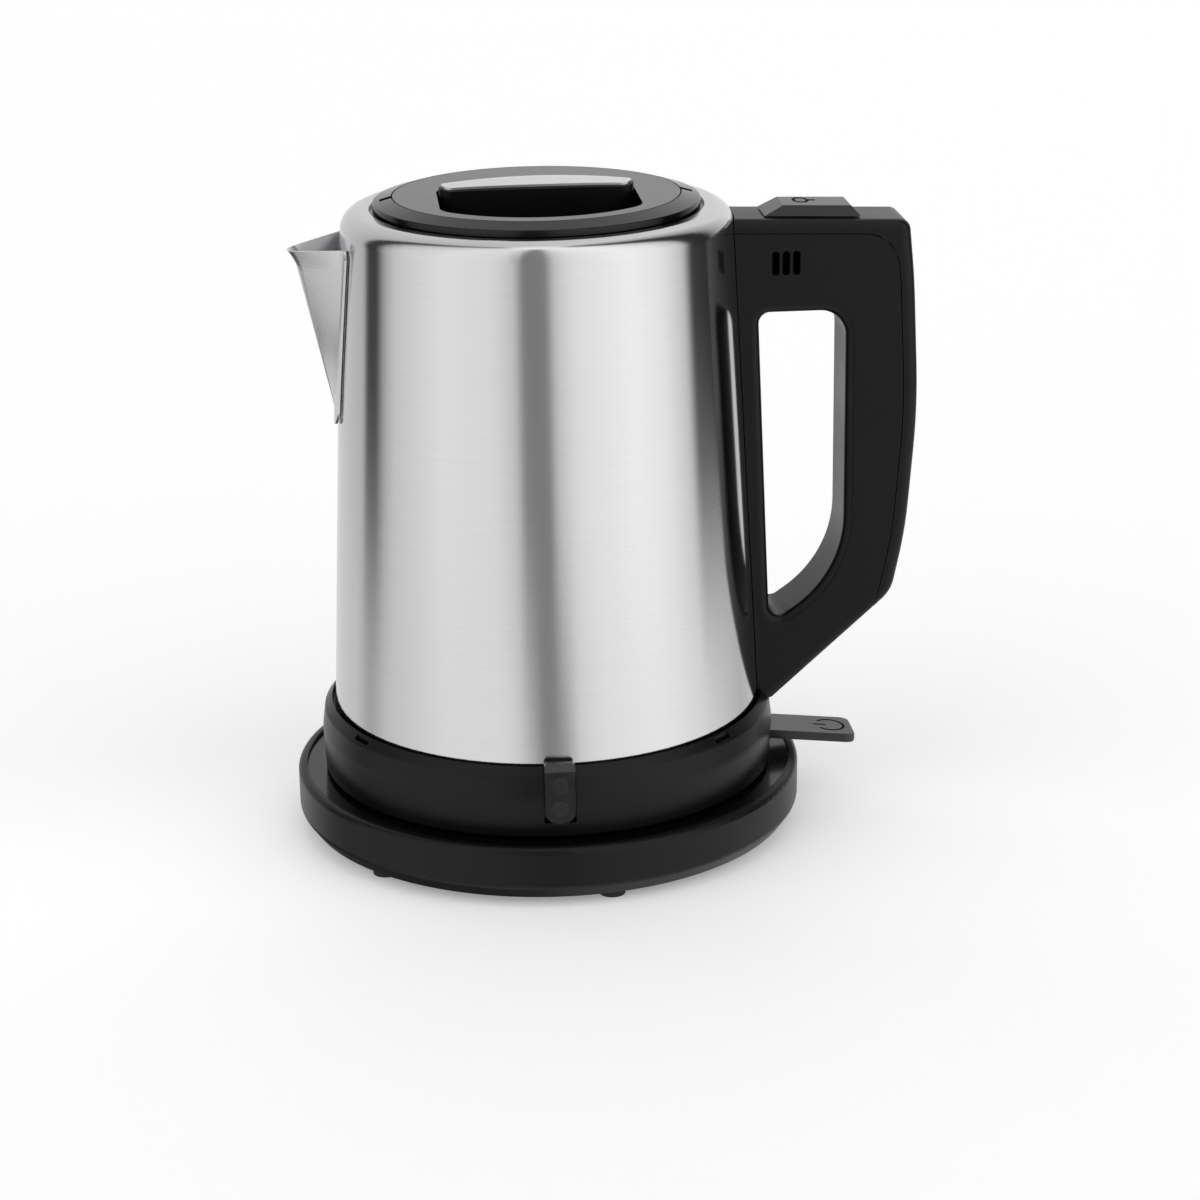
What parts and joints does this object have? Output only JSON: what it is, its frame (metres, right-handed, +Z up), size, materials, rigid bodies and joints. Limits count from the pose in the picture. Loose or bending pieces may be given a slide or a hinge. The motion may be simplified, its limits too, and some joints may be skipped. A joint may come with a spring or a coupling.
{
  "type": "electric kettle",
  "caption": "Cordless electric kettle: brushed steel jug with a pouring beak, a black loop handle and a lift-out lid, standing on a round power base.",
  "frame": {"origin": "on the jug's axis at table level, below the middle of the power base", "axes": "+Z up, +X towards the handle, -X towards the spout, -Y towards the indicator lamps"},
  "size_m": [0.1967, 0.1624, 0.206],
  "materials": {
    "brushed_steel": "fine brushing round the jug, satin",
    "matte_black_plastic": "fine matte moulding texture",
    "gloss_black_plastic": "high gloss",
    "grey_plastic": "satin",
    "smoked_lens": "clear smoked, glossy",
    "lamp_cap": "translucent, unlit",
    "silver_inlay": "satin anodised",
    "black_rubber": "matte",
    "clear_silicone": "translucent satin",
    "brass": "bright",
    "aluminium": "rolled",
    "element_steel": "dull",
    "bimetal": "rolled",
    "zinc_steel": "zinc plated",
    "control_plastic": "matte",
    "white_plastic": "matte",
    "circuit_board": "satin",
    "wire_insulation": "satin"
  },
  "bodies": {
    "base": {"base_shell": "matte_black_plastic", "base_plate": "gloss_black_plastic", "base_cover": "matte_black_plastic", "base_feet": "black_rubber", "base_screws": "zinc_steel", "base_connector": "control_plastic", "base_live_contact": "brass", "base_neutral_contact": "brass", "base_earth_contact": "brass", "cord_grommet": "black_rubber", "terminal_block": "white_plastic", "base_leads": "wire_insulation"},
    "shutter": {"connector_shutter": "control_plastic"},
    "kettle": {"kettle_underside": "matte_black_plastic", "kettle_collar": "matte_black_plastic", "underside_screws": "zinc_steel", "indicator_lens": "smoked_lens", "indicator_lamps": "lamp_cap", "lamp_board": "circuit_board", "steel_body": "brushed_steel", "spout": "brushed_steel", "floor_plate": "brushed_steel", "diffuser_plate": "aluminium", "heating_element": "element_steel", "control_unit": "white_plastic", "kettle_live_pin": "brass", "kettle_neutral_ring": "brass", "kettle_earth_ring": "brass", "bimetal_discs": "bimetal", "steam_bimetal": "bimetal", "lid_collar": "gloss_black_plastic", "handle_core": "matte_black_plastic", "handle_cover": "matte_black_plastic", "handle_studs": "zinc_steel", "steam_tube": "white_plastic", "lever_pin": "zinc_steel", "switch_housing": "white_plastic"},
    "lever": {"power_lever": "grey_plastic"},
    "carrier": {"contact_carrier": "white_plastic"},
    "lid": {"lid_plate": "gloss_black_plastic", "lid_grip": "matte_black_plastic", "grip_inlay": "silver_inlay", "lid_plug": "matte_black_plastic", "lid_seal": "clear_silicone", "lid_screws": "zinc_steel"},
    "lock": {"thumb_slide": "grey_plastic", "lock_bolt": "grey_plastic"}
  },
  "joints": [
    {"name": "kettle_swivel", "type": "hinge", "parent": "base", "child": "shutter", "pos_m": [0, 0, 0], "axis": [0, 0, 1], "continuous": true},
    {"name": "kettle_lift", "type": "slide", "parent": "shutter", "child": "kettle", "axis": [0, 0, 1], "range_m": [0, 0.1]},
    {"name": "lid_lift", "type": "slide", "parent": "kettle", "child": "lid", "axis": [0, 0, 1], "range_m": [0, 0.06]},
    {"name": "lid_lock", "type": "slide", "parent": "kettle", "child": "lock", "axis": [-1, 0, 0], "range_m": [0, 0.006]},
    {"name": "power_lever", "type": "hinge", "parent": "kettle", "child": "lever", "pos_m": [0.062, 0, 0.0247], "axis": [0, -1, 0], "range_deg": [0, 10]},
    {"name": "contact_carrier", "type": "slide", "parent": "kettle", "child": "carrier", "axis": [0, 0, 1], "range_m": [-0.0025, 0]}
  ],
  "couplings": [
    {"joint": "contact_carrier", "follows": "power_lever", "m_per_rad": -0.012}
  ]
}
